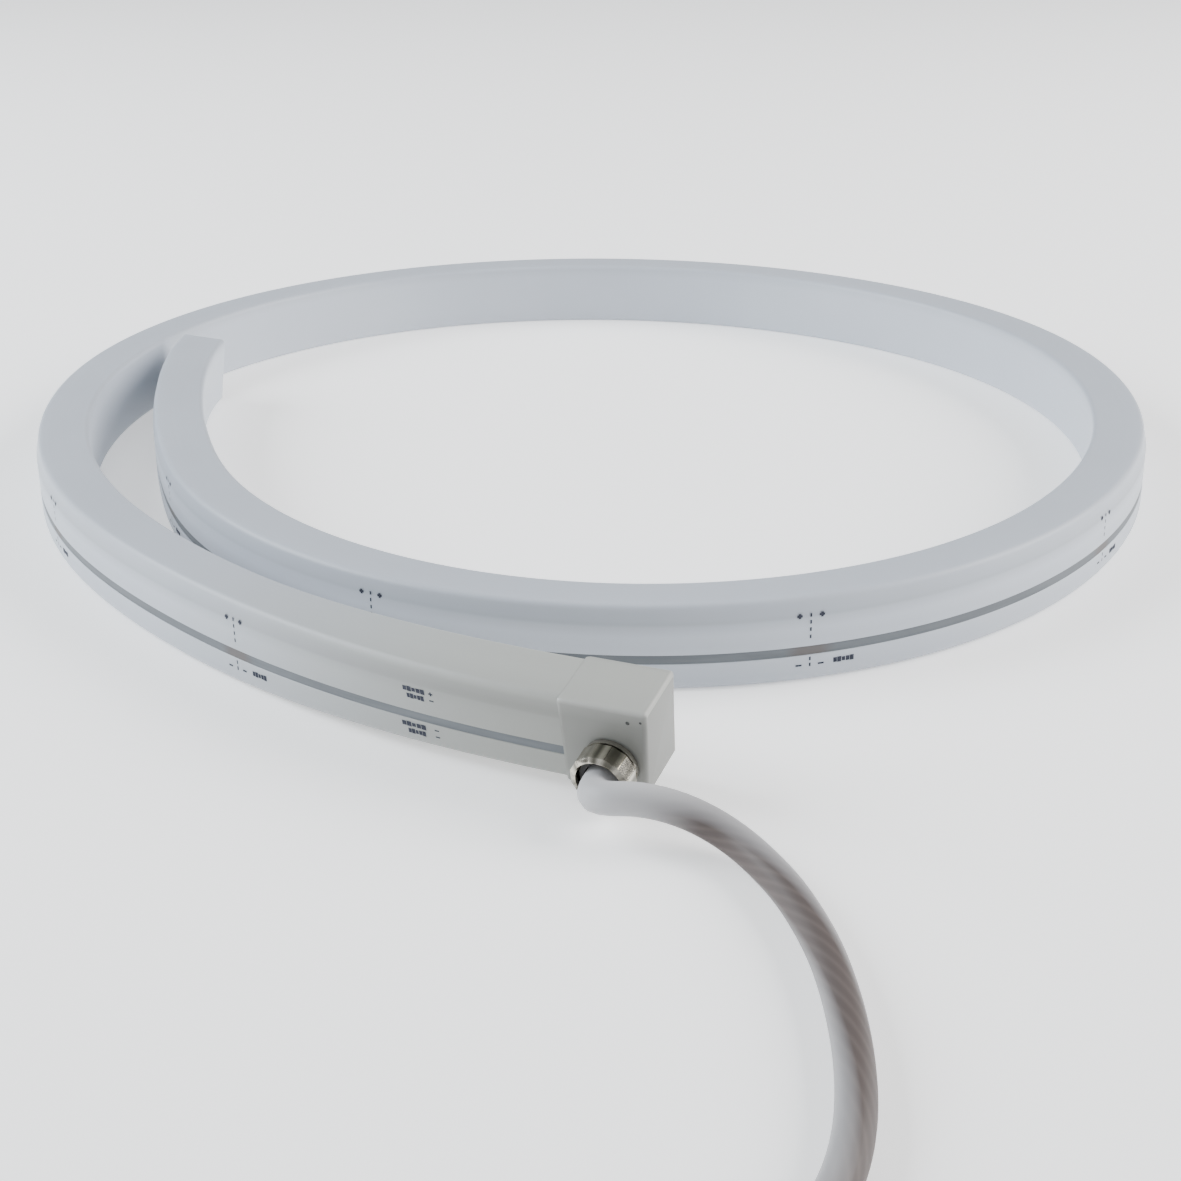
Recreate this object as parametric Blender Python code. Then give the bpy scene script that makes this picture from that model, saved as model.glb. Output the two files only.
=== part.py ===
"""A length of LED neon flex lying on its side in one and a third turns, with its moulded end cap,
its metal cable gland and the lead that comes out of it.

The strip's place is told by its winding: 0 degrees at the front (-Y), then left, back, right and front
again. The strip lies on its narrow side, with its back (the grooved face) outwards.
"""
import bmesh
import bpy
import numpy as np
from math import atan2, cos, pi, radians, sin, tan
from mathutils import Vector

MM = 0.001

# The extruded strip, across its section
STRIP_DEPTH = 15.0 * MM
STRIP_HEIGHT = 21.0 * MM
BACK_CORNER_RADIUS = 2.5 * MM
LIT_CORNER_RADIUS = 1.5 * MM
GROOVE_HEIGHT = 7.9 * MM
GROOVE_WIDTH = 2.2 * MM
GROOVE_DEPTH = 0.2 * MM
# The back's upper margin leans inwards to the upper corner
MARGIN_BOTTOM = 16.4 * MM
MARGIN_LEAN = 0.7 * MM
UPPER_CORNER_RADIUS = 1.6 * MM
CORNER_STEPS = 3

# The coil: half its width, its middle, and the radius of the strip's outer bottom edge at windings
# 30 degrees apart from the first one, all told in half widths
COIL_RADIUS = 163.5 * MM
COIL_MIDDLE = (0.003, 0.0985)
FIRST_WINDING = -30.0
WINDING_SPACING = 30.0
FIRST_TURN = (1.5719, 1.2587, 1.0410, 0.9719, 0.9957, 1.0728, 1.1339,
              1.1370, 1.0966, 1.0465, 0.9945, 0.9761, 0.9859)
# Clear space between the second turn and the first one outside it, at the next windings
SECOND_TURN_GAPS = (0.2128, 0.0875, 0.0942, 0.1058, 0.0098)
START_WINDING = 1.55
END_WINDING = 478.5
WINDING_PER_RING = 4.0

# The capped end is rolled and stands a little off the floor, and the strip is flat again further on
END_ROLL = radians(12.5)
END_LIFT = 2.4 * MM
FLAT_WINDING = 34.0
# The cut end leans inwards and stands on its inner lower edge
TAIL_ROLL = radians(7.5)
TAIL_FLAT_WINDING = 442.0
TAIL_ROLLED_WINDING = 472.0

# End cap
TOUCH_GAP = 0.3 * MM
CAP_LENGTH = 19.0 * MM
CAP_PROUD = 0.3 * MM
CAP_CORNER_RADIUS = 0.8 * MM
CAP_END_RADIUS = 1.0 * MM
CAP_LEAST_RADIUS = 0.3 * MM
CAP_END_LEAN = 1.3 * MM

# Cable gland, along its axis out of the cap's back face
GLAND_FROM_CAP_END = 8.6 * MM
GLAND_HEIGHT = 7.5 * MM
COLLAR_RADIUS = 6.1 * MM
COLLAR_THICKNESS = 1.2 * MM
STUB_LENGTH = 2.2 * MM
STUB_RADIUS = 4.6 * MM
NUT_SIDES = 12
NUT_ACROSS_FLATS = 12.4 * MM
NUT_LENGTH = 5.4 * MM
NUT_CHAMFER = 0.7 * MM
NUT_BORE_RADIUS = 5.0 * MM
SEAL_THICKNESS = 1.5 * MM
ROUND_SIDES = 24

# Lead
LEAD_DIAMETER = 6.8 * MM
LEAD_START = 0.7 * MM
LEAD_STRAIGHT = 7.2 * MM
LEAD_POINT_SPACING = 4.2 * MM
# Route of the lead after the gland, chosen by hand: X and Y from the gland's foot, and height above lying
LEAD_ROUTE = [(x * MM, y * MM, z * MM) for x, y, z in (
    (-3.6, -8.9, 4.5), (-3.3, -11.6, 5.1), (-1.3, -14.0, 5.8), (2.1, -15.0, 6.2), (8.3, -15.6, 5.6),
    (15.9, -17.3, 3.5), (22.8, -21.9, 1.2), (28.1, -30.1, 0.1), (31.6, -39.1, 0.0), (33.8, -47.2, 0.0),
    (36.0, -58.7, 0.0), (37.2, -71.7, 0.0), (37.4, -84.7, 0.0), (36.6, -97.7, 0.0),
    (34.4, -110.7, 0.0), (29.8, -123.7, 0.0), (22.4, -135.2, 0.0), (12.2, -143.7, 0.0),
    (-0.3, -148.7, 0.0), (-13.8, -150.7, 0.0), (-27.8, -150.7, 0.0), (-41.8, -150.1, 0.0),
    (-55.8, -148.7, 0.0), (-69.8, -146.2, 0.0), (-83.8, -142.7, 0.0), (-97.3, -138.2, 0.0),
    (-109.8, -132.7, 0.0))]
LEAD_SIDES_RESOLUTION = 3

# The four cores at the lead's stripped end
CORE_DIAMETER = 1.7 * MM
CORE_CIRCLE_RADIUS = 1.5 * MM
CORE_LENGTH = 24.0 * MM
CORE_SPREAD = 5.0 * MM
CORE_STEPS = 5
TIP_DIAMETER = 1.0 * MM
TIP_LENGTH = 6.0 * MM
CORE_COLOURS = {"black": (0.02, 0.02, 0.02), "red": (0.6, 0.02, 0.02),
                "green": (0.02, 0.3, 0.06), "blue": (0.02, 0.08, 0.5)}


def clear_scene():
    for thing in list(bpy.data.objects):
        bpy.data.objects.remove(thing, do_unlink=True)


def material(name, colour, roughness, metallic=0.0):
    finish = bpy.data.materials.new(name)
    finish.use_nodes = True
    shader = finish.node_tree.nodes["Principled BSDF"]
    shader.inputs["Base Color"].default_value = (*colour, 1.0)
    shader.inputs["Roughness"].default_value = roughness
    shader.inputs["Metallic"].default_value = metallic
    return finish


def mesh_object(name, bm, finish, smooth_angle=radians(35)):
    bmesh.ops.recalc_face_normals(bm, faces=bm.faces)
    mesh = bpy.data.meshes.new(name)
    bm.to_mesh(mesh)
    bm.free()
    mesh.shade_smooth()
    mesh.set_sharp_from_angle(angle=smooth_angle)
    mesh.materials.append(finish)
    thing = bpy.data.objects.new(name, mesh)
    bpy.context.scene.collection.objects.link(thing)
    return thing


def spline_slopes(x, y):
    """Second derivatives of the natural cubic spline through the points."""
    count = len(x)
    matrix = np.eye(count)
    right = np.zeros(count)
    for i in range(1, count - 1):
        before, after = x[i] - x[i - 1], x[i + 1] - x[i]
        matrix[i, i - 1:i + 2] = before, 2 * (before + after), after
        right[i] = 6 * ((y[i + 1] - y[i]) / after - (y[i] - y[i - 1]) / before)
    return np.linalg.solve(matrix, right)


def spline_at(x, y, bend, at):
    """Value and slope of that spline."""
    i = int(np.clip(np.searchsorted(x, at) - 1, 0, len(x) - 2))
    step = x[i + 1] - x[i]
    a, b = (x[i + 1] - at) / step, (at - x[i]) / step
    value = a * y[i] + b * y[i + 1] + ((a**3 - a) * bend[i] + (b**3 - b) * bend[i + 1]) * step**2 / 6
    slope = (y[i + 1] - y[i]) / step + ((3 * b * b - 1) * bend[i + 1] - (3 * a * a - 1) * bend[i]) * step / 6
    return value, slope


def coil_stations():
    """Windings in radians, and the edge's radius at each."""
    before = round(-FIRST_WINDING / WINDING_SPACING)
    radii = [COIL_RADIUS * share for share in FIRST_TURN]
    for i, gap in enumerate(SECOND_TURN_GAPS):
        radii.append(radii[before + i] - STRIP_DEPTH - COIL_RADIUS * gap)
    windings = [radians(FIRST_WINDING + WINDING_SPACING * i) for i in range(len(radii))]
    return np.array(windings), np.array(radii)


STATION_WINDINGS, STATION_RADII = coil_stations()
STATION_BENDS = spline_slopes(STATION_WINDINGS, STATION_RADII)


def eased(share):
    """From 0 to 1, with a soft start and end."""
    share = min(max(share, 0.0), 1.0)
    return share * share * (3 - 2 * share)


class Place:
    """The strip's section at one winding: its outer bottom edge, and its own directions."""

    def __init__(self, winding):
        angle = radians(winding)
        radius, growth = spline_at(STATION_WINDINGS, STATION_RADII, STATION_BENDS, angle)
        ease = eased((FLAT_WINDING - winding) / (FLAT_WINDING - START_WINDING))
        lean = eased((winding - TAIL_FLAT_WINDING) / (TAIL_ROLLED_WINDING - TAIL_FLAT_WINDING))
        roll = END_ROLL * ease - TAIL_ROLL * lean
        lift = END_LIFT * ease + STRIP_DEPTH * sin(TAIL_ROLL * lean)
        out = Vector((-sin(angle), -cos(angle), 0))
        around = Vector((-cos(angle), sin(angle), 0))
        centre = Vector((*COIL_MIDDLE, 0)) * COIL_RADIUS
        self.edge = centre + out * radius + Vector((0, 0, lift))
        self.along = (out * growth + around * radius).normalized()
        outward = Vector((self.along.y, -self.along.x, 0))
        if outward.dot(out) < 0:
            outward.negate()
        up = Vector((0, 0, 1))
        self.inward = -outward * cos(roll) + up * sin(roll)
        self.upward = outward * sin(roll) + up * cos(roll)

    def point(self, inward, upward, forward=0.0):
        return self.edge + self.inward * inward + self.upward * upward + self.along * forward


def arc(centre_in, centre_up, radius, start):
    """Points of a quarter circle that begins at the angle start, in degrees."""
    points = []
    for i in range(CORNER_STEPS + 1):
        angle = radians(start + 90 * i / CORNER_STEPS)
        points.append((centre_in + radius * cos(angle), centre_up + radius * sin(angle)))
    return points


def strip_section():
    """The strip's outline, anticlockwise from its lower corner at the lit side."""
    outline = arc(STRIP_DEPTH - LIT_CORNER_RADIUS, LIT_CORNER_RADIUS, LIT_CORNER_RADIUS, -90)
    outline += arc(STRIP_DEPTH - LIT_CORNER_RADIUS, STRIP_HEIGHT - LIT_CORNER_RADIUS, LIT_CORNER_RADIUS, 0)
    outline += arc(MARGIN_LEAN + UPPER_CORNER_RADIUS, STRIP_HEIGHT - UPPER_CORNER_RADIUS, UPPER_CORNER_RADIUS, 90)
    top = GROOVE_HEIGHT + GROOVE_WIDTH / 2
    bottom = GROOVE_HEIGHT - GROOVE_WIDTH / 2
    outline += [(0, MARGIN_BOTTOM), (0, top), (GROOVE_DEPTH, top), (GROOVE_DEPTH, bottom), (0, bottom)]
    outline += arc(BACK_CORNER_RADIUS, BACK_CORNER_RADIUS, BACK_CORNER_RADIUS, 180)
    return outline


def cap_section(inset):
    """The cap's outline, drawn in by so much: a little larger than the strip on all sides but the lower one."""
    radius = max(CAP_CORNER_RADIUS - inset, CAP_LEAST_RADIUS)
    low_in, high_in = inset - CAP_PROUD, STRIP_DEPTH + CAP_PROUD - inset
    low_up, high_up = inset, STRIP_HEIGHT + CAP_PROUD - inset
    outline = arc(high_in - radius, low_up + radius, radius, -90)
    outline += arc(high_in - radius, high_up - radius, radius, 0)
    outline += arc(low_in + radius, high_up - radius, radius, 90)
    outline += arc(low_in + radius, low_up + radius, radius, 180)
    return outline


def skin_rings(bm, rings, closed=False):
    """Joins rings of as many points each with quads, and closes the two ends or the loop."""
    loops = [[bm.verts.new(point) for point in ring] for ring in rings]
    pairs = list(zip(loops, loops[1:]))
    if closed:
        pairs.append((loops[-1], loops[0]))
    for near, far in pairs:
        for i in range(len(near)):
            j = (i + 1) % len(near)
            bm.faces.new((near[i], near[j], far[j], far[i]))
    if not closed:
        bm.faces.new(list(reversed(loops[0])))
        bm.faces.new(loops[-1])


def make_strip():
    section = strip_section()
    count = round((END_WINDING - START_WINDING) / WINDING_PER_RING)
    rings = []
    for i in range(count + 1):
        place = Place(START_WINDING + (END_WINDING - START_WINDING) * i / count)
        rings.append([place.point(inward, upward) for inward, upward in section])
    bm = bmesh.new()
    skin_rings(bm, rings)
    return mesh_object("neon_tube", bm, material("frosted_silicone", (0.78, 0.8, 0.82), 0.5))


def cap_ring(place, distance, inset):
    """One ring of the end cap, so far before the strip's end and drawn in by so much.

    Towards the cap's end the rings lean, so that its lower side is a little shorter than its upper side.
    """
    lean = CAP_END_LEAN * distance / CAP_LENGTH
    ring = []
    for inward, upward in cap_section(inset):
        ring.append(place.point(inward, upward, lean * (1 - upward / STRIP_HEIGHT) - distance))
    return ring


def make_end_cap():
    place = Place(START_WINDING)
    rings = [cap_ring(place, TOUCH_GAP, 0)]
    for i in range(CORNER_STEPS + 1):
        angle = pi / 2 * i / CORNER_STEPS
        distance = TOUCH_GAP + CAP_LENGTH - CAP_END_RADIUS * (1 - sin(angle))
        rings.append(cap_ring(place, distance, CAP_END_RADIUS * (1 - cos(angle))))
    bm = bmesh.new()
    skin_rings(bm, rings)
    return mesh_object("end_cap", bm, material("moulded_silicone", (0.72, 0.72, 0.69), 0.45))


class GlandAxis:
    """The gland's axis, from the cap's back face outwards."""

    def __init__(self):
        place = Place(START_WINDING)
        self.start = place.point(-CAP_PROUD, GLAND_HEIGHT, -(TOUCH_GAP + CAP_LENGTH - GLAND_FROM_CAP_END))
        self.out = -place.inward
        self.side = place.along
        self.up = place.upward

    def point(self, distance, radius=0.0, angle=0.0):
        return self.start + self.out * distance + (self.side * cos(angle) + self.up * sin(angle)) * radius


def turned_ring(axis, distance, radius, sides=0):
    """A ring round the axis: a circle, or a polygon with flat sides at that radius."""
    points = []
    for i in range(ROUND_SIDES):
        angle = 2 * pi * i / ROUND_SIDES
        reach = radius
        if sides:
            half = pi / sides
            off = (angle + half) % (2 * half) - half
            reach = radius / cos(off)
        points.append(axis.point(distance, reach, angle))
    return points


def make_turned(name, axis, profile, finish):
    """A ring-shaped piece from a closed profile of (distance, radius, sides)."""
    bm = bmesh.new()
    skin_rings(bm, [turned_ring(axis, *corner) for corner in profile], closed=True)
    return mesh_object(name, bm, finish, radians(20))


def lead_bore():
    return LEAD_DIAMETER / 2 + TOUCH_GAP


def collar_end():
    return TOUCH_GAP + COLLAR_THICKNESS


def make_gland_collar(axis, metal):
    bore = lead_bore()
    stub_end = collar_end() + STUB_LENGTH
    profile = [(TOUCH_GAP, COLLAR_RADIUS, 0), (collar_end(), COLLAR_RADIUS, 0), (collar_end(), STUB_RADIUS, 0),
               (stub_end, STUB_RADIUS, 0), (stub_end, bore, 0), (TOUCH_GAP, bore, 0)]
    return make_turned("gland_collar", axis, profile, metal)


def nut_start():
    return collar_end() + TOUCH_GAP


def make_gland_nut(axis, metal):
    flat = NUT_ACROSS_FLATS / 2
    front = nut_start() + NUT_LENGTH
    profile = [(nut_start(), flat - NUT_CHAMFER / 2, 0), (nut_start() + NUT_CHAMFER / 2, flat, NUT_SIDES),
               (front - NUT_CHAMFER, flat, NUT_SIDES), (front, flat - NUT_CHAMFER, 0),
               (front, NUT_BORE_RADIUS, 0), (nut_start(), NUT_BORE_RADIUS, 0)]
    return make_turned("gland_nut", axis, profile, metal)


def make_gland_seal(axis, rubber):
    start = collar_end() + STUB_LENGTH + TOUCH_GAP
    outer = NUT_BORE_RADIUS - TOUCH_GAP
    profile = [(start, outer, 0), (start + SEAL_THICKNESS, outer, 0),
               (start + SEAL_THICKNESS, lead_bore(), 0), (start, lead_bore(), 0)]
    return make_turned("gland_seal", axis, profile, rubber)


def smooth_line(points, spacing, floor):
    """Evenly spaced points on a smooth curve through the given ones, none of them lower than the floor."""
    knots = np.array([tuple(point) for point in points])
    legs = np.linalg.norm(np.diff(knots, axis=0), axis=1)
    along = np.concatenate([[0.0], np.cumsum(legs)])
    bends = [spline_slopes(along, knots[:, k]) for k in range(3)]
    count = max(round(along[-1] / spacing), 2)
    line = []
    for i in range(count + 1):
        at = along[-1] * i / count
        line.append(Vector([spline_at(along, knots[:, k], bends[k], at)[0] for k in range(3)]))
        line[-1].z = max(line[-1].z, floor)
    return line


def lead_line(axis):
    """The lead's centre line: straight out of the gland, then along its route."""
    points = [axis.point(LEAD_START), axis.point((LEAD_START + LEAD_STRAIGHT) / 2), axis.point(LEAD_STRAIGHT)]
    for x, y, height in LEAD_ROUTE:
        points.append(Vector((axis.start.x + x, axis.start.y + y, LEAD_DIAMETER / 2 + height)))
    return smooth_line(points, LEAD_POINT_SPACING, LEAD_DIAMETER / 2)


def make_tube(name, line, diameter, resolution, finish):
    curve = bpy.data.curves.new(name, "CURVE")
    curve.dimensions = "3D"
    curve.bevel_depth = diameter / 2
    curve.bevel_resolution = resolution
    curve.use_fill_caps = True
    curve.materials.append(finish)
    spline = curve.splines.new("POLY")
    spline.points.add(len(line) - 1)
    for point, place in zip(spline.points, line):
        point.co = (*place, 1.0)
    thing = bpy.data.objects.new(name, curve)
    bpy.context.scene.collection.objects.link(thing)
    return thing


def core_line(end, heading, corner):
    """A core's centre line: out of the jacket, then fanned out flat and down to the floor."""
    side = Vector((-heading.y, heading.x, 0))
    up = Vector((0, 0, 1))
    angle = pi / 4 + corner * pi / 2
    across, high = cos(angle) * CORE_CIRCLE_RADIUS, sin(angle) * CORE_CIRCLE_RADIUS
    lane = (1.5, 0.5, -0.5, -1.5)[(1, 2, 3, 0)[corner]]
    line = []
    for i in range(CORE_STEPS + 1):
        t = i / CORE_STEPS
        ease = t * t * (3 - 2 * t)
        wide = across + (lane * CORE_SPREAD - across) * ease
        drop = end.z + high + (CORE_DIAMETER / 2 - end.z - high) * ease
        place = end + heading * (TOUCH_GAP + CORE_LENGTH * t) + side * wide
        line.append(Vector((place.x, place.y, drop)))
    return line


def make_cores(line):
    end = line[-1]
    heading = (line[-1] - line[-2]).normalized()
    heading.z = 0
    tin = material("tinned_copper", (0.8, 0.78, 0.74), 0.3, 1.0)
    for corner, (colour, value) in enumerate(CORE_COLOURS.items()):
        path = core_line(end, heading, corner)
        make_tube("core_" + colour, path, CORE_DIAMETER, 2, material(colour + "_insulation", value, 0.4))
        last = (path[-1] - path[-2]).normalized()
        low = CORE_DIAMETER / 2 - TIP_DIAMETER / 2
        tip_end = path[-1] + last * (TOUCH_GAP + TIP_LENGTH)
        tip_end.z = max(tip_end.z, CORE_DIAMETER / 2 - low)
        make_tube("core_tip_" + colour, [path[-1] + last * TOUCH_GAP, tip_end], TIP_DIAMETER, 2, tin)


def main():
    clear_scene()
    make_strip()
    make_end_cap()
    axis = GlandAxis()
    metal = material("nickel_plate", (0.6, 0.58, 0.53), 0.25, 1.0)
    make_gland_collar(axis, metal)
    make_gland_nut(axis, metal)
    make_gland_seal(axis, material("black_rubber", (0.02, 0.02, 0.02), 0.6))
    line = lead_line(axis)
    make_tube("lead", line, LEAD_DIAMETER, LEAD_SIDES_RESOLUTION, material("lead_jacket", (0.7, 0.7, 0.7), 0.35))
    make_cores(line)


main()
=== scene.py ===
"""The neon strip, its end cap, gland and lead, dressed for a studio picture in the photograph's view.

Places on the strip are told by its winding, which is 0 degrees at the front (-Y), then left, back and right,
and by two lengths across its section: inward from its back and up from its lower side.
"""
from math import cos, pi, radians, sin

import bmesh
import bpy
import numpy as np
from mathutils import Matrix, Vector

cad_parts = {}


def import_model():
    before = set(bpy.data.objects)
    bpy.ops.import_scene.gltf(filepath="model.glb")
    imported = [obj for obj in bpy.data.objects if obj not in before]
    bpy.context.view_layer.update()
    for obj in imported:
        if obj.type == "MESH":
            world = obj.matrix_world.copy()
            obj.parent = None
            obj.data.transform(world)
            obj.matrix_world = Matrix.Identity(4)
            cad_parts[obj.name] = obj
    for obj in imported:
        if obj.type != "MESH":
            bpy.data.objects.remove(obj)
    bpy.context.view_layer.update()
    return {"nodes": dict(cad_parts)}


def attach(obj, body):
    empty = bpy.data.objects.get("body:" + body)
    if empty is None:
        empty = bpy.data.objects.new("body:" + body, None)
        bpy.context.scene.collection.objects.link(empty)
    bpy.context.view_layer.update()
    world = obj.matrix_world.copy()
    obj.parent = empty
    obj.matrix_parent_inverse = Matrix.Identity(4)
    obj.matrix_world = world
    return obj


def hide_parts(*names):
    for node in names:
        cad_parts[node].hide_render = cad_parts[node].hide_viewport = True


MM = 0.001

# Camera, as fitted to the photograph
CAMERA_PLACE = (0.1 * MM, -543.3 * MM, 193.2 * MM)
CAMERA_PITCH = radians(22.66)
CAMERA_ROLL = radians(-0.73)
CAMERA_LENS = 59.75
CAMERA_SENSOR = 36.0

# The extruded strip, across its section
STRIP_DEPTH = 15.0 * MM
STRIP_HEIGHT = 21.0 * MM
BACK_CORNER_RADIUS = 2.5 * MM
LIT_CORNER_RADIUS = 1.5 * MM
GROOVE_HEIGHT = 7.9 * MM
GROOVE_WIDTH = 2.2 * MM
GROOVE_DEPTH = 0.2 * MM
MARGIN_BOTTOM = 16.4 * MM
MARGIN_LEAN = 0.7 * MM
UPPER_CORNER_RADIUS = 1.6 * MM
CORNER_STEPS = 6
FLAT_STEP = 2.4 * MM

# The coil, as in the model. Its middle, turns and gaps are shares of its radius
COIL_RADIUS = 163.5 * MM
COIL_MIDDLE = (0.003, 0.0985)
FIRST_WINDING = -30.0
WINDING_SPACING = 30.0
FIRST_TURN = (1.5719, 1.2587, 1.0410, 0.9719, 0.9957, 1.0728, 1.1339,
              1.1370, 1.0966, 1.0465, 0.9945, 0.9761, 0.9859)
SECOND_TURN_GAPS = (0.2128, 0.0875, 0.0942, 0.1058, 0.0098)
START_WINDING = 1.55
END_WINDING = 478.5
WINDING_PER_RING = 1.0
# The capped end leans outwards and is lifted a little. The cut end leans inwards and stands on its inner edge
END_ROLL = radians(12.5)
END_LIFT = 2.4 * MM
FLAT_WINDING = 34.0
TAIL_ROLL = radians(7.5)
TAIL_FLAT_WINDING = 442.0
TAIL_ROLLED_WINDING = 472.0

# Printed cut marks: distance of the first from the strip's start and from one to the next, in mid section
FIRST_MARK = 90.2 * MM
CUT_UNIT = 99.55 * MM
PRINT_PROUD = 0.03 * MM
# Each mark has signs on both sides of a dashed line and a row of small words before it. All halves here are
# half of a size, along the strip and then in height
SIGN_ASIDE = 2.55 * MM
PLUS_HEIGHT, PLUS_ARM, PLUS_THICK = 16.6 * MM, 0.62 * MM, 0.3 * MM
MINUS_HEIGHT, MINUS_HALVES = 4.4 * MM, (0.7 * MM, 0.22 * MM)
DASH_HEIGHTS = (16.7 * MM, 15.0 * MM, 13.2 * MM, 11.4 * MM, 5.9 * MM, 4.4 * MM)
DASH_HALVES = (0.2 * MM, 0.45 * MM)
WORDS_BEFORE, WORDS_HEIGHT, WORDS_WIDTH, WORDS_TALL = 7.9 * MM, 4.7 * MM, 5.0 * MM, 1.2 * MM
BLOCKS_PER_WORD = 5
# Words for the cores by the capped end, each with its height, its two ends along the strip, in millimetres,
# and whether the sign after it is a plus
LABELS = ((14.8, 37.0, 31.3, True), (13.05, 36.2, 31.7, False),
          (5.4, 38.8, 32.5, False), (3.7, 37.4, 32.8, False))
LABEL_TALL = 1.15 * MM
LABEL_SIGN_AT = 29.8 * MM
LABEL_SIGN_ARM, LABEL_PLUS_RISE, LABEL_SIGN_THICK = 0.55 * MM, 0.5 * MM, 0.17 * MM

# Painted light and shade on the strip, where 0.5 is its plain colour: its lit side lighter, as a milky
# diffuser and with painted light through it; its top darker, painted shade; and its back by height in
# millimetres, a little lighter with painted light, with a painted shaded band under its top edge and a
# painted highlight below it
LIT_DIFFUSER_AND_PAINTED_LIGHT = 0.55
TOP_PAINTED_SHADE = 0.48
BACK_PAINTED_LIGHT_AND_SHADE = ((20.2, 0.49), (19.0, 0.47), (17.4, 0.45), (16.5, 0.42), (15.8, 0.49), (13.4, 0.56),
              (11.0, 0.53), (6.0, 0.53), (2.0, 0.5))
# Darker painted shade on the top and back by the capped end, where the strip leans to face downwards, fading
# away from it
START_SHADE_LENGTH = 135.0 * MM
START_TOP_PAINTED_SHADE = 0.47
START_BACK_PAINTED_SHADE = ((20.2, 0.43), (19.0, 0.34), (17.4, 0.3), (16.5, 0.3), (15.8, 0.35), (13.4, 0.37),
                    (11.0, 0.38), (6.0, 0.38), (2.0, 0.39))
# Painted shade on the cap: its back darker, most just under its top edge, and its end and lit side darker too
CAP_BACK_PAINTED_SHADE = ((20.9, 0.45), (20.3, 0.3), (17.5, 0.25), (13.0, 0.26), (4.0, 0.28), (1.5, 0.33))
CAP_END_PAINTED_SHADE = 0.25

# End cap
TOUCH_GAP = 0.3 * MM
CAP_LENGTH = 19.0 * MM
CAP_PROUD = 0.3 * MM
CAP_CORNER_RADIUS = 0.8 * MM
CAP_END_RADIUS = 1.0 * MM
CAP_LEAST_RADIUS = 0.3 * MM
CAP_END_LEAN = 1.3 * MM
# Small dots on the cap's back: distance from the strip, height and radius, in millimetres
CAP_DOTS = ((15.2, 18.5, 0.45), (18.0, 19.1, 0.3))
DOT_SIDES = 12

# Cable gland
GLAND_FROM_CAP_END = 8.6 * MM
GLAND_HEIGHT = 7.5 * MM
COLLAR_THICKNESS = 1.2 * MM
NUT_SIDES = 12
NUT_ACROSS_FLATS = 12.4 * MM
NUT_LENGTH = 5.4 * MM
NUT_CHAMFER = 0.7 * MM
NUT_BORE_RADIUS = 5.0 * MM
NUT_EDGE_ROUND = 0.16 * MM
NUT_RIM_ROUND = 0.12 * MM
NUT_MOUTH_ROUND = 0.25 * MM

# Lead
LEAD_DIAMETER = 6.8 * MM
LEAD_START = 0.7 * MM
LEAD_STRAIGHT = 7.2 * MM
LEAD_POINT_SPACING = 2.0 * MM
LEAD_SIDES = 32
LEAD_ROUTE = [(x * MM, y * MM, z * MM) for x, y, z in (
    (-3.6, -8.9, 4.5), (-3.3, -11.6, 5.1), (-1.3, -14.0, 5.8), (2.1, -15.0, 6.2), (8.3, -15.6, 5.6),
    (15.9, -17.3, 3.5), (22.8, -21.9, 1.2), (28.1, -30.1, 0.1), (31.6, -39.1, 0.0), (33.8, -47.2, 0.0),
    (36.0, -58.7, 0.0), (37.2, -71.7, 0.0), (37.4, -84.7, 0.0), (36.6, -97.7, 0.0),
    (34.4, -110.7, 0.0), (29.8, -123.7, 0.0), (22.4, -135.2, 0.0), (12.2, -143.7, 0.0),
    (-0.3, -148.7, 0.0), (-13.8, -150.7, 0.0), (-27.8, -150.7, 0.0), (-41.8, -150.1, 0.0),
    (-55.8, -148.7, 0.0), (-69.8, -146.2, 0.0), (-83.8, -142.7, 0.0), (-97.3, -138.2, 0.0),
    (-109.8, -132.7, 0.0))]
JACKET_COLOUR = (0.42, 0.42, 0.43)
# By the gland the strands don't show, and from a little further on they show fully
STRANDS_HIDDEN_LENGTH = 18.0 * MM
STRANDS_SHOWN_FROM = 37.0 * MM
# Twisted strands seen through the jacket: they show most on one side, 0.5 in the list, which moves slowly
# round the lead.
# That side is put to the lead's lower side, so their darkness there is partly painted shade
STRANDS = 10
TWIST_PITCH = 55.0 * MM
STRAND_DARK, STRAND_LIGHT = (0.052, 0.036, 0.031), (0.074, 0.055, 0.048)
LAY_PITCH = 222.0 * MM
LAY_START = 0.23
STRANDS_AND_PAINTED_SHADE = ((0.0, 0.15), (0.15, 0.22), (0.25, 0.35), (0.33, 0.6), (0.4, 0.92), (0.6, 0.92), (0.67, 0.6),
                (0.75, 0.35), (0.85, 0.22), (1.0, 0.15))

# Colours
STRIP_LIGHT, STRIP_DARK = (0.43, 0.462, 0.51), (0.41, 0.442, 0.49)
# Painted shade by the capped end: the strip's colour there, darker and less blue
STRIP_SHADED_BY_CAP = (0.37, 0.378, 0.355)
CAP_LIGHT, CAP_DARK = (0.375, 0.38, 0.355), (0.36, 0.365, 0.34)
GROOVE_DARK, GROOVE_LIGHT, GROOVE_AT_MARK = (0.09, 0.102, 0.114), (0.112, 0.126, 0.14), (0.088, 0.075, 0.07)
MARK_INK, DOT_INK = (0.028, 0.031, 0.045), (0.05, 0.052, 0.05)
NICKEL, TIN = (0.42, 0.4, 0.36), (0.75, 0.73, 0.7)
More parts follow.
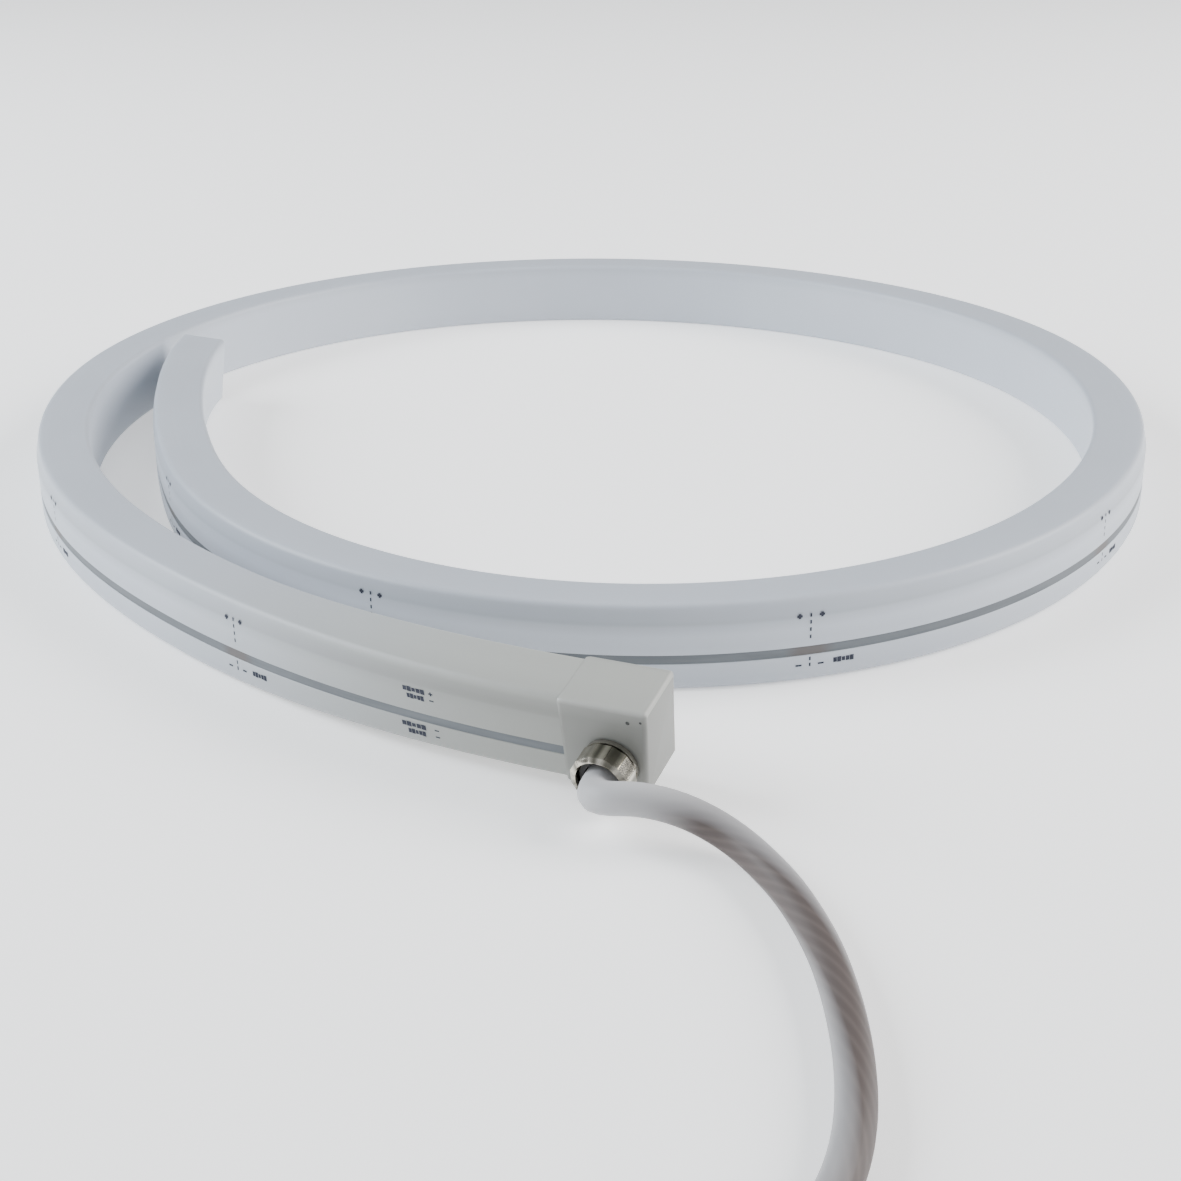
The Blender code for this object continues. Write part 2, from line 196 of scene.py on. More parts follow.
# Painted reflections on the nut: dark and light bands of the nickel colour
NICKEL_PAINTED_REFLECTIONS = ((0.38, (0.22, 0.22, 0.2)), (0.5, (0.5, 0.5, 0.48)), (0.6, (0.8, 0.8, 0.76)))
SEAL_BLACK = (0.015, 0.015, 0.015)
CORE_COLOURS = {"black": (0.02, 0.02, 0.022), "red": (0.45, 0.02, 0.02),
                "green": (0.02, 0.22, 0.06), "blue": (0.02, 0.07, 0.4)}

# Studio
FLOOR_HALF = 6.0
FLOOR_GLOW = 0.5
SKY_DIM, SKY_BRIGHT = 0.1, 0.85
SKY_DIM_BELOW = -0.4
SKY_TILT = radians(-40)
SKY_COLOUR = (0.95, 0.975, 1.0)
SIDE_LIGHT = 55.0
SIDE_LIGHT_SIZE = (1.4, 1.1)
LEFT_LIGHT_COLOUR, RIGHT_LIGHT_COLOUR = (0.9, 0.95, 1.0), (1.0, 0.985, 0.98)


# Smooth path of the strip

def spline_bends(x, y):
    """Second derivatives of the natural cubic spline through the points."""
    count = len(x)
    matrix = np.eye(count)
    right = np.zeros(count)
    for i in range(1, count - 1):
        before, after = x[i] - x[i - 1], x[i + 1] - x[i]
        matrix[i, i - 1:i + 2] = before, 2 * (before + after), after
        right[i] = 6 * ((y[i + 1] - y[i]) / after - (y[i] - y[i - 1]) / before)
    return np.linalg.solve(matrix, right)


def spline_at(x, y, bend, at):
    """Value and slope of that spline."""
    i = int(np.clip(np.searchsorted(x, at) - 1, 0, len(x) - 2))
    step = x[i + 1] - x[i]
    a, b = (x[i + 1] - at) / step, (at - x[i]) / step
    value = a * y[i] + b * y[i + 1] + ((a**3 - a) * bend[i] + (b**3 - b) * bend[i + 1]) * step**2 / 6
    slope = (y[i + 1] - y[i]) / step + ((3 * b * b - 1) * bend[i + 1] - (3 * a * a - 1) * bend[i]) * step / 6
    return value, slope


def coil_stations():
    """Windings in radians, and the edge's radius at each."""
    before = round(-FIRST_WINDING / WINDING_SPACING)
    radii = [COIL_RADIUS * share for share in FIRST_TURN]
    for i, gap in enumerate(SECOND_TURN_GAPS):
        radii.append(radii[before + i] - STRIP_DEPTH - COIL_RADIUS * gap)
    windings = [radians(FIRST_WINDING + WINDING_SPACING * i) for i in range(len(radii))]
    return np.array(windings), np.array(radii)


STATION_WINDINGS, STATION_RADII = coil_stations()
STATION_BENDS = spline_bends(STATION_WINDINGS, STATION_RADII)


def eased(share):
    """From 0 to 1, with a soft start and end."""
    share = min(max(share, 0.0), 1.0)
    return share * share * (3 - 2 * share)


class Place:
    """The strip's section at one winding: its outer bottom edge, and its own directions."""

    def __init__(self, winding):
        angle = radians(winding)
        radius, growth = spline_at(STATION_WINDINGS, STATION_RADII, STATION_BENDS, angle)
        ease = eased((FLAT_WINDING - winding) / (FLAT_WINDING - START_WINDING))
        lean = eased((winding - TAIL_FLAT_WINDING) / (TAIL_ROLLED_WINDING - TAIL_FLAT_WINDING))
        roll = END_ROLL * ease - TAIL_ROLL * lean
        lift = END_LIFT * ease + STRIP_DEPTH * sin(TAIL_ROLL * lean)
        out = Vector((-sin(angle), -cos(angle), 0))
        around = Vector((-cos(angle), sin(angle), 0))
        centre = Vector((*COIL_MIDDLE, 0)) * COIL_RADIUS
        self.edge = centre + out * radius + Vector((0, 0, lift))
        self.along = (out * growth + around * radius).normalized()
        outward = Vector((self.along.y, -self.along.x, 0))
        if outward.dot(out) < 0:
            outward.negate()
        up = Vector((0, 0, 1))
        self.inward = -outward * cos(roll) + up * sin(roll)
        self.upward = outward * sin(roll) + up * cos(roll)

    def point(self, inward, upward, forward=0.0):
        return self.edge + self.inward * inward + self.upward * upward + self.along * forward


class Run:
    """Length along the middle of the strip, from its start, and the winding at each length."""

    def __init__(self):
        self.windings = np.arange(START_WINDING, END_WINDING + 0.25, 0.5)
        middle = np.array([Place(w).point(STRIP_DEPTH / 2, 0)[:] for w in self.windings])
        legs = np.linalg.norm(np.diff(middle, axis=0), axis=1)
        self.lengths = np.concatenate([[0.0], np.cumsum(legs)])

    def winding(self, length):
        return float(np.interp(length, self.lengths, self.windings))

    def length(self, winding):
        return float(np.interp(winding, self.windings, self.lengths))


RUN = Run()


# Materials

def new_material(name, colour, roughness, metallic=0.0):
    """A material with its Principled shader, and the tools to add nodes to it."""
    finish = bpy.data.materials.new(name)
    finish.use_nodes = True
    nodes, links = finish.node_tree.nodes, finish.node_tree.links
    shader = nodes["Principled BSDF"]
    shader.inputs["Base Color"].default_value = (*colour, 1.0)
    shader.inputs["Roughness"].default_value = roughness
    shader.inputs["Metallic"].default_value = metallic
    return finish, nodes, links, shader


def mapped(nodes, links, source, scale):
    """Texture coordinates from the named output, scaled."""
    where = nodes.new("ShaderNodeTexCoord")
    mapping = nodes.new("ShaderNodeMapping")
    mapping.inputs["Scale"].default_value = scale
    links.new(where.outputs[source], mapping.inputs["Vector"])
    return mapping.outputs["Vector"]


def noise(nodes, links, vector, scale, detail=2.0, roughness=0.5):
    texture = nodes.new("ShaderNodeTexNoise")
    texture.inputs["Scale"].default_value = scale
    texture.inputs["Detail"].default_value = detail
    texture.inputs["Roughness"].default_value = roughness
    links.new(vector, texture.inputs["Vector"])
    return texture.outputs["Fac"]


def ramp(nodes, links, value, stops):
    """A colour ramp through (position, colour) stops."""
    node = nodes.new("ShaderNodeValToRGB")
    elements = node.color_ramp.elements
    while len(elements) < len(stops):
        elements.new(0.5)
    for element, (position, colour) in zip(elements, stops):
        element.position = position
        element.color = (*colour, 1.0)
    links.new(value, node.inputs["Fac"])
    return node.outputs["Color"]


def grey_ramp(nodes, links, value, stops):
    """A ramp of greys through (position, tone) stops."""
    return ramp(nodes, links, value, [(at, (tone,) * 3) for at, tone in stops])


def bump(nodes, links, shader, height, strength, distance):
    node = nodes.new("ShaderNodeBump")
    node.inputs["Strength"].default_value = strength
    node.inputs["Distance"].default_value = distance
    links.new(height, node.inputs["Height"])
    links.new(node.outputs["Normal"], shader.inputs["Normal"])


def calc(nodes, links, operation, *values):
    """One step of arithmetic on sockets or plain numbers."""
    node = nodes.new("ShaderNodeMath")
    node.operation = operation
    for slot, value in zip(node.inputs, values):
        if isinstance(value, float):
            slot.default_value = value
        else:
            links.new(value, slot)
    return node.outputs[0]


def ranged(nodes, links, value, start, end, low, high, soft=False):
    """The value's stretch from start to end, turned into one from low to high."""
    node = nodes.new("ShaderNodeMapRange")
    if soft:
        node.interpolation_type = "SMOOTHSTEP"
    for name, number in (("From Min", start), ("From Max", end), ("To Min", low), ("To Max", high)):
        node.inputs[name].default_value = number
    links.new(value, node.inputs["Value"])
    return node.outputs["Result"]


def uv_place(nodes, links):
    """Lengths along the piece and round its section."""
    place = nodes.new("ShaderNodeUVMap")
    place.uv_map = "UVMap"
    parts = nodes.new("ShaderNodeSeparateXYZ")
    links.new(place.outputs["UV"], parts.inputs["Vector"])
    return parts.outputs["X"], parts.outputs["Y"]


def mixed(nodes, links, factor, first, second):
    """Mix of two colours, each a socket or a plain colour."""
    mix = nodes.new("ShaderNodeMix")
    mix.data_type = "RGBA"
    links.new(factor, mix.inputs["Factor"])
    for slot, colour in ((6, first), (7, second)):
        if isinstance(colour, tuple):
            mix.inputs[slot].default_value = (*colour, 1.0)
        else:
            links.new(colour, mix.inputs[slot])
    return mix.outputs[2]


def girth_painted_shade(nodes, links, girth, shades):
    """Painted light and shade: a grey tone by length round the section, through (length, tone) stops."""
    _, across = uv_place(nodes, links)
    share = calc(nodes, links, "DIVIDE", across, girth)
    return grey_ramp(nodes, links, share, [(at / girth, tone) for at, tone in shades])


def toned(nodes, links, colour, tone):
    """The colour times a tone, where a tone of 0.5 leaves it as it is."""
    double = nodes.new("ShaderNodeVectorMath")
    double.operation = "SCALE"
    double.inputs["Scale"].default_value = 2.0
    links.new(tone, double.inputs[0])
    times = nodes.new("ShaderNodeVectorMath")
    times.operation = "MULTIPLY"
    links.new(colour, times.inputs[0])
    links.new(double.outputs[0], times.inputs[1])
    return times.outputs[0]


def silicone(name, light, dark, roughness, along_scale, girth, shades, start_shades=None, start_shade_colour=None):
    """Milky silicone: cloudy colour, faint lines along the extrusion and a fine matt grain, with painted
    light and shade round its section and, where given, darker painted shade by the capped end.
    """
    finish, nodes, links, shader = new_material(name, light, roughness)
    clouds = noise(nodes, links, mapped(nodes, links, "Object", (1, 1, 1)), 22.0, 3.0)
    colour = ramp(nodes, links, clouds, [(0.3, dark), (0.7, light)])
    # Painted light and shade by place round the section
    tone = girth_painted_shade(nodes, links, girth, shades)
    # Darker painted shade by the capped end, fading along the strip
    if start_shades:
        along, _ = uv_place(nodes, links)
        fade = ranged(nodes, links, along, 0.0, START_SHADE_LENGTH, 1.0, 0.0, soft=True)
        colour = mixed(nodes, links, fade, colour, start_shade_colour)
        tone = mixed(nodes, links, fade, tone, girth_painted_shade(nodes, links, girth, start_shades))
    links.new(toned(nodes, links, colour, tone), shader.inputs["Base Color"])
    lines = noise(nodes, links, mapped(nodes, links, "UV", (along_scale, 900, 1)), 1.0, 3.0, 0.6)
    gloss = ranged(nodes, links, lines, 0.0, 1.0, roughness - 0.05, roughness + 0.07)
    links.new(gloss, shader.inputs["Roughness"])
    bump(nodes, links, shader, lines, 0.12, 0.0002)
    shader.inputs["Subsurface Weight"].default_value = 0.25
    shader.inputs["Subsurface Radius"].default_value = (1.0, 1.0, 1.1)
    shader.inputs["Subsurface Scale"].default_value = 0.003
    shader.inputs["IOR"].default_value = 1.41
    return finish


def groove_finish():
    """Grey groove, streaked along the strip and a little browner behind each cut mark."""
    finish, nodes, links, shader = new_material("groove_grey", GROOVE_DARK, 0.5)
    streaks = noise(nodes, links, mapped(nodes, links, "UV", (60, 700, 1)), 1.0, 2.0)
    colour = ramp(nodes, links, streaks, [(0.3, GROOVE_DARK), (0.7, GROOVE_LIGHT)])
    # The share of a cut unit passed since half a unit before the last mark: 0.5 is at a mark
    along, _ = uv_place(nodes, links)
    units = calc(nodes, links, "MULTIPLY_ADD", along, 1 / CUT_UNIT, 1.5 - FIRST_MARK / CUT_UNIT)
    share = calc(nodes, links, "FRACT", units)
    near = grey_ramp(nodes, links, share, [(0.44, 0.0), (0.475, 0.8), (0.525, 0.8), (0.56, 0.0)])
    links.new(mixed(nodes, links, near, colour, GROOVE_AT_MARK), shader.inputs["Base Color"])
    return finish


def print_finish(name, colour):
    """Printing ink, a little uneven."""
    finish, nodes, links, shader = new_material(name, colour, 0.75)
    shader.inputs["Specular IOR Level"].default_value = 0.25
    specks = noise(nodes, links, mapped(nodes, links, "Object", (1, 1, 1)), 2500.0, 2.0)
    lighter = tuple(c * 1.8 + 0.015 for c in colour)
    links.new(ramp(nodes, links, specks, [(0.5, colour), (0.8, lighter)]), shader.inputs["Base Color"])
    return finish


def metal_finish(name, colour, roughness, painted_reflections=False):
    """Bright plating with a slight haze and fine scratches, and painted bands of reflected light and shade if
    wanted.
    """
    finish, nodes, links, shader = new_material(name, colour, roughness, 1.0)
    haze = noise(nodes, links, mapped(nodes, links, "Object", (1, 1, 1)), 350.0, 4.0, 0.6)
    hazy = ranged(nodes, links, haze, 0.0, 1.0, roughness * 0.6, roughness * 1.5)
    links.new(hazy, shader.inputs["Roughness"])
    tone = ramp(nodes, links, haze, [(0.35, tuple(c * 0.88 for c in colour)), (0.65, colour)])
    # Painted reflections: light and dark bands round the piece
    if painted_reflections:
        bands = noise(nodes, links, mapped(nodes, links, "UV", (20, 420, 1)), 1.0, 1.0)
        tone = toned(nodes, links, tone, ramp(nodes, links, bands, NICKEL_PAINTED_REFLECTIONS))
    links.new(tone, shader.inputs["Base Color"])
    scratches = noise(nodes, links, mapped(nodes, links, "Object", (300, 4000, 4000)), 1.0, 2.0)
    bump(nodes, links, shader, scratches, 0.05, 0.00005)
    return finish


def plain_finish(name, colour, roughness, grain=1500.0):
    """Moulded rubber or insulation, with a fine grain."""
    finish, nodes, links, shader = new_material(name, colour, roughness)
    specks = noise(nodes, links, mapped(nodes, links, "Object", (1, 1, 1)), grain, 3.0)
    darker = tuple(c * 0.8 for c in colour)
    links.new(ramp(nodes, links, specks, [(0.35, darker), (0.65, colour)]), shader.inputs["Base Color"])
    bump(nodes, links, shader, specks, 0.15, 0.00005)
    return finish


def jacket_finish():
    """Milky jacket with the twisted cores showing through on one side, darkest on its lower side as partly
    painted shade, but not by the gland.
    """
    finish, nodes, links, shader = new_material("lead_jacket", JACKET_COLOUR, 0.5)
    shader.inputs["Specular IOR Level"].default_value = 0.25
    clouds = noise(nodes, links, mapped(nodes, links, "Object", (1, 1, 1)), 60.0, 3.0)
    dark = tuple(c * 0.9 for c in JACKET_COLOUR)
    milky = ramp(nodes, links, clouds, [(0.3, dark), (0.7, JACKET_COLOUR)])
    along, across = uv_place(nodes, links)
    turn = calc(nodes, links, "DIVIDE", across, pi * LEAD_DIAMETER)
    twist = calc(nodes, links, "MULTIPLY_ADD", along, 1 / TWIST_PITCH, turn)
    strand = calc(nodes, links, "FRACT", calc(nodes, links, "MULTIPLY", twist, float(STRANDS)))
    cores = ramp(nodes, links, strand,
                 [(0.0, STRAND_LIGHT), (0.35, STRAND_DARK), (0.65, STRAND_DARK), (1.0, STRAND_LIGHT)])
    lay = calc(nodes, links, "MULTIPLY_ADD", along, 1 / LAY_PITCH, turn)
    side = calc(nodes, links, "FRACT", calc(nodes, links, "ADD", lay, LAY_START))
    # Strands darkest on the lead's lower side: partly painted shade
    show = grey_ramp(nodes, links, side, STRANDS_AND_PAINTED_SHADE)
    reach = ranged(nodes, links, along, STRANDS_HIDDEN_LENGTH, STRANDS_SHOWN_FROM, 0.0, 1.0, soft=True)
    amount = calc(nodes, links, "MULTIPLY", show, reach)
    links.new(mixed(nodes, links, amount, milky, cores), shader.inputs["Base Color"])
    return finish


# Mesh building

def finish_mesh(name, bm, finishes, smooth_angle=radians(35)):
    """Turns the built faces into an object that rides on the part."""
    bmesh.ops.recalc_face_normals(bm, faces=bm.faces)
    mesh = bpy.data.meshes.new(name)
    bm.to_mesh(mesh)
    bm.free()
    mesh.shade_smooth()
    mesh.set_sharp_from_angle(angle=smooth_angle)
    for finish in finishes:
        mesh.materials.append(finish)
    thing = bpy.data.objects.new(name, mesh)
    bpy.context.scene.collection.objects.link(thing)
    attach(thing, "root")
    return thing


def arc(centre_in, centre_up, radius, start):
    """Points of a quarter circle that begins at the angle start, in degrees."""
    points = []
    for i in range(CORNER_STEPS + 1):
        angle = radians(start + 90 * i / CORNER_STEPS)
        points.append((centre_in + radius * cos(angle), centre_up + radius * sin(angle)))
    return points


def cap_section(inset):
    """The cap's outline, drawn in by so much. It stands a little proud of the strip, except below."""
    radius = max(CAP_CORNER_RADIUS - inset, CAP_LEAST_RADIUS)
    low_in, high_in = inset - CAP_PROUD, STRIP_DEPTH + CAP_PROUD - inset
    low_up, high_up = inset, STRIP_HEIGHT + CAP_PROUD - inset
    outline = arc(high_in - radius, low_up + radius, radius, -90)
    outline += arc(high_in - radius, high_up - radius, radius, 0)
    outline += arc(low_in + radius, high_up - radius, radius, 90)
    outline += arc(low_in + radius, low_up + radius, radius, 180)
    return outline


def divided(outline, step):
    """The closed outline with points added so that no side is longer than step."""
    points = []
    for i, start in enumerate(outline):
        end = outline[(i + 1) % len(outline)]
        parts = max(int(np.hypot(end[0] - start[0], end[1] - start[1]) / step + 0.5), 1)
        for k in range(parts):
            share = k / parts
            points.append((start[0] + (end[0] - start[0]) * share, start[1] + (end[1] - start[1]) * share))
    return points


def strip_section():
    """The strip's outline, anticlockwise from its lower corner at the lit side."""
    outline = arc(STRIP_DEPTH - LIT_CORNER_RADIUS, LIT_CORNER_RADIUS, LIT_CORNER_RADIUS, -90)
    outline += arc(STRIP_DEPTH - LIT_CORNER_RADIUS, STRIP_HEIGHT - LIT_CORNER_RADIUS, LIT_CORNER_RADIUS, 0)
    upper = UPPER_CORNER_RADIUS
    outline += arc(MARGIN_LEAN + upper, STRIP_HEIGHT - upper, upper, 90)
    top = GROOVE_HEIGHT + GROOVE_WIDTH / 2
    bottom = GROOVE_HEIGHT - GROOVE_WIDTH / 2
    lip = 0.1 * MM
    outline += [(0, MARGIN_BOTTOM), (0, top + lip), (lip, top), (GROOVE_DEPTH, top),
                (GROOVE_DEPTH, bottom), (lip, bottom), (0, bottom - lip)]
    outline += arc(BACK_CORNER_RADIUS, BACK_CORNER_RADIUS, BACK_CORNER_RADIUS, 180)
    return divided(outline, FLAT_STEP)


def girth_to(section, upward):
    """Length round the section, from its first point down the back to that height."""
    length = 0.0
    for (x0, y0), (x1, y1) in zip(section, section[1:]):
        if x1 < STRIP_DEPTH / 2 and y1 < upward <= y0:
            return length + y0 - upward
        length += float(np.hypot(x1 - x0, y1 - y0))
    return length


def painted_light_and_shade_round(section, lit_side_light_and_shade, top_shade, back_light_and_shade):
    """Stops of painted light and shade round the section: its lit side, its top, and its back by height."""
    lit_end, top_start = STRIP_HEIGHT - 3 * MM, STRIP_HEIGHT + 1 * MM
    top_middle = STRIP_HEIGHT + STRIP_DEPTH / 2
    stops = [(0.0, lit_side_light_and_shade), (lit_end, lit_side_light_and_shade), (top_start, top_shade), (top_middle, top_shade)]
    for height, tone in back_light_and_shade:
        stops.append((girth_to(section, height * MM), tone))
    return stops


def in_groove(inward, upward):
    """If a point of the outline is on the groove's bottom."""
    slack = 0.01 * MM
    return inward > GROOVE_DEPTH - slack and abs(upward - GROOVE_HEIGHT) < GROOVE_WIDTH / 2 + slack


def skin_rings(bm, rings, lengths, closed=False):
    """Quads between rings, with UVs in metres: along the piece, then round its section."""
    uv = bm.loops.layers.uv.new("UVMap")
    loops = [[bm.verts.new(point) for point in ring] for ring in rings]
    first = rings[0]
    sides = [(first[i] - first[i - 1]).length for i in range(len(first))]
    round_at = np.cumsum(sides) - sides[0]
    faces = []
    pairs = [(k, k + 1) for k in range(len(loops) - 1)]
    if closed:
        pairs.append((len(loops) - 1, 0))
    for near, far in pairs:
        count = len(loops[near])
        for i in range(count):
            j = (i + 1) % count
            face = bm.faces.new((loops[near][i], loops[near][j], loops[far][j], loops[far][i]))
            end = round_at[i] + sides[j] if j else round_at[-1] + sides[0]
            places = [(lengths[near], round_at[i]), (lengths[near], end),
                      (lengths[far], end), (lengths[far], round_at[i])]
            for corner, place in zip(face.loops, places):
                corner[uv].uv = place
            faces.append((face, i))
    if not closed:
        bm.faces.new(list(reversed(loops[0])))
        bm.faces.new(loops[-1])
    return faces


def make_strip(finish, groove):
    section = strip_section()
    count = round((END_WINDING - START_WINDING) / WINDING_PER_RING)
    windings = [START_WINDING + (END_WINDING - START_WINDING) * i / count for i in range(count + 1)]
    rings = []
    for winding in windings:
        place = Place(winding)
        rings.append([place.point(inward, upward) for inward, upward in section])
    bm = bmesh.new()
    faces = skin_rings(bm, rings, [RUN.length(w) for w in windings])
    for face, i in faces:
        j = (i + 1) % len(section)
        if in_groove(*section[i]) and in_groove(*section[j]):
            face.material_index = 1
    strip = finish_mesh("strip_extrusion", bm, [finish, groove])
    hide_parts("neon_tube")


def cap_ring(place, distance, inset):
    """One ring of the end cap, so far before the strip's end and drawn in by so much.

    Towards the cap's end the rings lean, so that its lower side is a little shorter than its upper side.
    """
    lean = CAP_END_LEAN * distance / CAP_LENGTH
    ring = []
    for inward, upward in cap_section(inset):
        ring.append(place.point(inward, upward, lean * (1 - upward / STRIP_HEIGHT) - distance))
    return ring


def make_end_cap(finish):
    place = Place(START_WINDING)
    rims = [(0.0, CAP_PROUD), (TOUCH_GAP, 0.5 * CAP_PROUD), (TOUCH_GAP * 3, 0.0)]
    for i in range(CORNER_STEPS + 1):
        angle = pi / 2 * i / CORNER_STEPS
        distance = TOUCH_GAP + CAP_LENGTH - CAP_END_RADIUS * (1 - sin(angle))
        rims.append((distance, CAP_END_RADIUS * (1 - cos(angle))))
    bm = bmesh.new()
    skin_rings(bm, [cap_ring(place, *rim) for rim in rims], [rim[0] for rim in rims])
    cap = finish_mesh("cap_moulding", bm, [finish])
    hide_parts("end_cap")


# Printed marks on the back

class PrintSheet:
    """Thin patches of ink just off the strip's back, placed by length along the strip and height."""

    def __init__(self):
        self.bm = bmesh.new()

    def patch(self, length, height, half_length, half_height):
        """A rectangle of ink that follows the strip."""
        steps = max(round(half_length / (1.5 * MM)), 1)
        columns = []
        for i in range(steps + 1):
            place = Place(RUN.winding(length - half_length + 2 * half_length * i / steps))
            ends = [place.point(-PRINT_PROUD, height + side * half_height) for side in (-1, 1)]
            columns.append([self.bm.verts.new(end) for end in ends])
        for near, far in zip(columns, columns[1:]):
            self.bm.faces.new((near[0], far[0], far[1], near[1]))

    def plus(self, length, height, arm, rise, thick):
        """Two crossed patches, so far along the strip and in height."""
        self.patch(length, height, arm, thick)
        self.patch(length, height, thick, rise)

    def finish(self, name, ink):
        finish_mesh(name, self.bm, [ink])


def print_row(sheet, length, height, width, blocks, tall):
    """A row of small uneven blocks of ink."""
    pitch = width / blocks
    for i in range(blocks):
        at = length - width / 2 + pitch * (i + 0.5)
        uneven = (i * 5 + blocks) % 3
        sheet.patch(at, height, pitch * (0.4 + 0.04 * uneven), tall * (0.42 + 0.07 * uneven))


def print_cut_mark(sheet, at):
    """Plus signs over minus signs, the dashed line between them, and the words before it."""
    for side in (-1, 1):
        sheet.plus(at + side * SIGN_ASIDE, PLUS_HEIGHT, PLUS_ARM, PLUS_ARM, PLUS_THICK)
        sheet.patch(at + side * SIGN_ASIDE, MINUS_HEIGHT, *MINUS_HALVES)
    for height in DASH_HEIGHTS:
        sheet.patch(at, height, *DASH_HALVES)
    print_row(sheet, at - WORDS_BEFORE, WORDS_HEIGHT, WORDS_WIDTH, BLOCKS_PER_WORD, WORDS_TALL)


def print_label(sheet, height, start, end, is_plus):
    """A core's word and the sign after it."""
    print_row(sheet, (start + end) / 2, height, start - end, BLOCKS_PER_WORD, LABEL_TALL)
    if is_plus:
        sheet.plus(LABEL_SIGN_AT, height, LABEL_SIGN_ARM, LABEL_PLUS_RISE, LABEL_SIGN_THICK)
    else:
        sheet.patch(LABEL_SIGN_AT, height, LABEL_SIGN_ARM, LABEL_SIGN_THICK)


def make_prints(ink):
    sheet = PrintSheet()
    count = int((RUN.lengths[-1] - FIRST_MARK) / CUT_UNIT) + 1
    for k in range(count):
        print_cut_mark(sheet, FIRST_MARK + CUT_UNIT * k)
    for height, start, end, is_plus in LABELS:
        print_label(sheet, height * MM, start * MM, end * MM, is_plus)
    sheet.finish("cut_marks", ink)


def make_cap_dots(ink):
    dots = PrintSheet()
    cap = Place(START_WINDING)
    for before, height, radius in CAP_DOTS:
        rim = []
        for k in range(DOT_SIDES):
            a = 2 * pi * k / DOT_SIDES
            along, up = (radius * cos(a) - before) * MM, (height + radius * sin(a)) * MM
            rim.append(dots.bm.verts.new(cap.point(-CAP_PROUD - PRINT_PROUD, up, along)))
        dots.bm.faces.new(rim)
    dots.finish("cap_dots", ink)


# Gland

class GlandAxis:
    """The gland's axis, from the cap's back face outwards."""

    def __init__(self):
        place = Place(START_WINDING)
        self.start = place.point(-CAP_PROUD, GLAND_HEIGHT, -(TOUCH_GAP + CAP_LENGTH - GLAND_FROM_CAP_END))
        self.out = -place.inward
        self.side = place.along
        self.up = place.upward

    def point(self, distance, radius=0.0, angle=0.0):
        return self.start + self.out * distance + (self.side * cos(angle) + self.up * sin(angle)) * radius


def nut_ring(axis, distance, radius, faceted):
    """A ring round the axis, either round or with the nut's flats, with close points at each corner."""
    half = pi / NUT_SIDES
    offsets = [-half * share for share in (1.0, 0.93, 0.84, 0.42, 0.0)]
    offsets += [-off for off in offsets[-2:0:-1]]
    points = []
    for side in range(NUT_SIDES):
        for off in offsets:
            reach = radius / cos(off) if faceted else radius
            if faceted and abs(off) > half * 0.95:
                reach -= NUT_EDGE_ROUND
            points.append(axis.point(distance, reach, 2 * half * side + off))
    return points


def make_nut(axis, metal):
    """The nut, with softened corners, chamfered ends and a plain bore."""
    flat = NUT_ACROSS_FLATS / 2
    back = TOUCH_GAP * 2 + COLLAR_THICKNESS
    front = back + NUT_LENGTH
    soft, mouth = NUT_RIM_ROUND, NUT_MOUTH_ROUND
    profile = [(back, flat - NUT_CHAMFER / 2 - soft, False), (back + soft, flat - NUT_CHAMFER / 2, False),
               (back + NUT_CHAMFER / 2, flat, True), (front - NUT_CHAMFER, flat, True),
               (front - soft, flat - NUT_CHAMFER + soft, False), (front, flat - NUT_CHAMFER - soft, False),
               (front, NUT_BORE_RADIUS + mouth, False), (front - mouth, NUT_BORE_RADIUS, False),
               (back, NUT_BORE_RADIUS, False)]
    bm = bmesh.new()
    rings = [nut_ring(axis, *corner) for corner in profile]
    skin_rings(bm, rings, [corner[0] for corner in profile], closed=True)
    nut = finish_mesh("nut_dressed", bm, [metal], radians(18))
    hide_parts("gland_nut")


# Lead

def smooth_line(points, spacing, floor):
    """Evenly spaced points on a smooth curve through the given ones, none of them lower than the floor."""
    knots = np.array([tuple(point) for point in points])
    legs = np.linalg.norm(np.diff(knots, axis=0), axis=1)
    along = np.concatenate([[0.0], np.cumsum(legs)])
    bends = [spline_bends(along, knots[:, k]) for k in range(3)]
    count = max(round(along[-1] / spacing), 2)
    line = []
    for i in range(count + 1):
        at = along[-1] * i / count
        line.append(Vector([spline_at(along, knots[:, k], bends[k], at)[0] for k in range(3)]))
        line[-1].z = max(line[-1].z, floor)
    return line


def lead_line(axis):
    """The lead's centre line: straight out of the gland, then along its route."""
    points = [axis.point(LEAD_START), axis.point((LEAD_START + LEAD_STRAIGHT) / 2), axis.point(LEAD_STRAIGHT)]
    for x, y, height in LEAD_ROUTE:
        points.append(Vector((axis.start.x + x, axis.start.y + y, LEAD_DIAMETER / 2 + height)))
    return smooth_line(points, LEAD_POINT_SPACING, LEAD_DIAMETER / 2)


def tube_rings(line, radius, sides):
    """Rings round a line, without twist from one to the next, and the line's length at each."""
    rings, lengths = [], []
    across = None
    length = 0.0
    for i, place in enumerate(line):
        ahead = (line[min(i + 1, len(line) - 1)] - line[max(i - 1, 0)]).normalized()
        if across is None:
            across = ahead.cross(Vector((0, 0, 1))).normalized()
        across = (across - ahead * across.dot(ahead)).normalized()
        up = ahead.cross(across)
        if i:
            length += (place - line[i - 1]).length
        lengths.append(length)
        rings.append([place + (across * cos(a) + up * sin(a)) * radius
                      for a in (2 * pi * k / sides for k in range(sides))])
    return rings, lengths


def make_lead(axis, finish):
    line = lead_line(axis)
    rings, lengths = tube_rings(line, LEAD_DIAMETER / 2, LEAD_SIDES)
    bm = bmesh.new()
    skin_rings(bm, rings, lengths)
    lead = finish_mesh("lead_jacket_tube", bm, [finish])
    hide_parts("lead")


